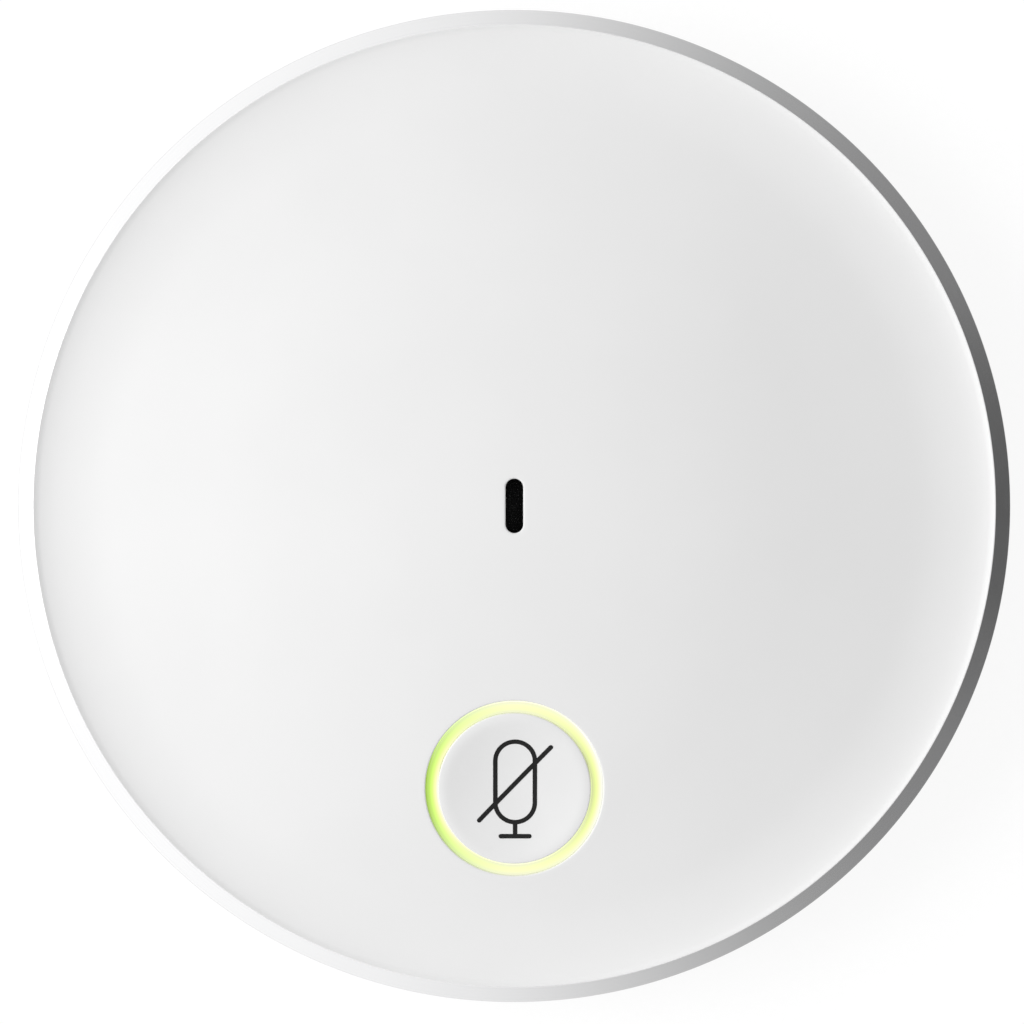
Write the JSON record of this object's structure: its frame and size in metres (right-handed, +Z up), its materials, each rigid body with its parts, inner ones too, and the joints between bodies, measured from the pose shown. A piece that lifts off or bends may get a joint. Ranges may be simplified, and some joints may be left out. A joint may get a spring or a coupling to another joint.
{
  "type": "conference table microphone",
  "caption": "Round table microphone puck: white domed cover with a sound slot, mute button in a ring of light, metal band and weighted rubber-footed base.",
  "frame": {"origin": "centre of the footprint, on the table surface", "axes": "+Z up through the crown of the cover, +Y to the rear where the cable enters, mute button towards -Y"},
  "size_m": [0.08, 0.08, 0.016],
  "materials": {
    "cover_white": "fine spark texture, moulded",
    "button_white": "satin, moulded",
    "satin_aluminium": "turned, clear anodised, satin",
    "tray_grey": "fine texture, moulded",
    "foot_rubber": "matt, moulded",
    "ballast_steel": "zinc plated, punched",
    "screw_steel": "zinc plated",
    "seal_foam": "closed-cell foam",
    "board_green": "solder resist on glass laminate",
    "light_guide": "clear moulded acrylic, lit yellow-green",
    "shroud_black": "opaque, moulded",
    "lamp_yellow": "moulded lens",
    "spring_steel": "drawn wire",
    "switch_black": "moulded",
    "tinned_steel": "bright tin plate",
    "plunger_brown": "moulded",
    "mesh_black": "fine woven mesh",
    "boot_rubber": "moulded",
    "capsule_aluminium": "drawn, satin",
    "pin_gold": "gold flashed",
    "chip_black": "moulded epoxy",
    "can_aluminium": "drawn can",
    "chip_ceramic": "sintered",
    "header_ivory": "moulded nylon"
  },
  "bodies": {
    "housing": {"top_cover": "cover_white", "rim_band": "satin_aluminium", "base_tray": "tray_grey", "foot_ring": "foot_rubber", "ballast_plate": "ballast_steel", "ballast_screws": "screw_steel", "housing_screws": "screw_steel", "cover_gasket": "seal_foam", "main_board": "board_green", "board_screws": "screw_steel", "light_ring": "light_guide", "light_shroud": "shroud_black", "ring_lamps": "lamp_yellow", "button_spring": "spring_steel", "switch_body": "switch_black", "switch_frame": "tinned_steel", "switch_dome": "spring_steel", "slot_mesh": "mesh_black", "acoustic_foam": "seal_foam", "microphone_boot": "boot_rubber", "microphone_capsule": "capsule_aluminium", "capsule_pins": "pin_gold", "signal_chip": "chip_black", "chip_legs": "tinned_steel", "shield_can": "tinned_steel", "filter_capacitors": "can_aluminium", "small_passives": "chip_ceramic", "cable_header": "header_ivory", "header_pins": "pin_gold", "cable_gland": "boot_rubber"},
    "button": {"mute_button": "button_white"},
    "plunger": {"switch_plunger": "plunger_brown"}
  },
  "joints": [
    {"name": "mute_press", "type": "slide", "parent": "housing", "child": "button", "axis": [0, 0, -1], "range_m": [0, 0.0004], "stiffness_N_per_m": 2000, "springref_m": -0.0005, "deforming": ["button_spring"]},
    {"name": "switch_press", "type": "slide", "parent": "housing", "child": "plunger", "axis": [0, 0, -1], "range_m": [0, 0.0004], "deforming": ["switch_dome"]}
  ],
  "couplings": [
    {"joint": "switch_press", "follows": "mute_press", "ratio": 1}
  ]
}
